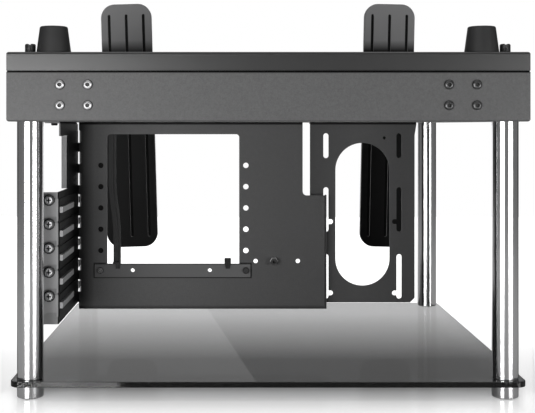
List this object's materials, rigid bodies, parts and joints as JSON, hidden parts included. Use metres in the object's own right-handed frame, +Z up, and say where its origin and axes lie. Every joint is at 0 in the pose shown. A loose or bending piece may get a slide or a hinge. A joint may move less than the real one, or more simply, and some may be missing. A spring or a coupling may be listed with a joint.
{
  "type": "open air test bench",
  "caption": "Open frame bench: hollow steel deck on polished tube legs over a smoked glass shelf, with a hanging motherboard tray, expansion bracket and slotted cooler plate.",
  "frame": {"origin": "centre of the outline on the floor, under the four foot pads", "axes": "+X to the right along the front, +Y from the front to the stand feet at the back, +Z up"},
  "size_m": [0.424, 0.3904, 0.3657],
  "materials": {
    "deck_coat": "dark grey textured powder coat",
    "tray_coat": "charcoal powder coat",
    "plate_coat": "charcoal powder coat, slightly darker",
    "cover_coat": "black coat",
    "grey_steel": "plain grey steel",
    "tube": "polished bright tube",
    "zinc": "zinc plated",
    "nickel": "bright nickel",
    "black_metal": "black plated",
    "rubber": "black, satin",
    "clear_washer": "thin grey washer",
    "smoked_glass": "smoked, polished",
    "stand_plastic": "moulded dark grey",
    "strap_plastic": "black nylon"
  },
  "bodies": {
    "root": {"cable_clip": "strap_plastic", "cone_foot_front_left": "rubber", "cone_foot_front_right": "rubber", "cone_foot_rear_left": "rubber", "cone_foot_rear_right": "rubber", "cone_nuts": "zinc", "cone_screws": "black_metal", "cooler_plate": "plate_coat", "corner_bracket_front_left": "zinc", "corner_bracket_front_right": "zinc", "corner_bracket_rear_left": "zinc", "corner_bracket_rear_right": "zinc", "crossbar": "tray_coat", "crossbar_screws": "black_metal", "deck_pan": "deck_coat", "expansion_bracket": "tray_coat", "foot_front_left": "tube", "foot_front_right": "tube", "foot_pads": "rubber", "foot_rear_left": "tube", "foot_rear_right": "tube", "foot_studs": "zinc", "glass_shelf": "smoked_glass", "hanger_nuts": "zinc", "hanger_screws": "black_metal", "leg_bolts": "black_metal", "leg_front_left": "tube", "leg_front_right": "tube", "leg_plugs": "zinc", "leg_rear_left": "tube", "leg_rear_right": "tube", "motherboard_tray": "tray_coat", "retaining_strap": "strap_plastic", "shelf_washers": "clear_washer", "slot_collars": "black_metal", "slot_cover_1": "cover_coat", "slot_cover_2": "cover_coat", "slot_cover_3": "cover_coat", "slot_cover_4": "cover_coat", "slot_cover_5": "cover_coat", "slot_ribs": "grey_steel", "slot_screws": "nickel", "stand_foot_left": "stand_plastic", "stand_foot_right": "stand_plastic", "stand_screws": "zinc", "standoff": "black_metal", "top_cover": "deck_coat", "wall_nuts": "zinc", "wall_screws_left": "black_metal", "wall_screws_right": "black_metal"}
  },
  "joints": []
}
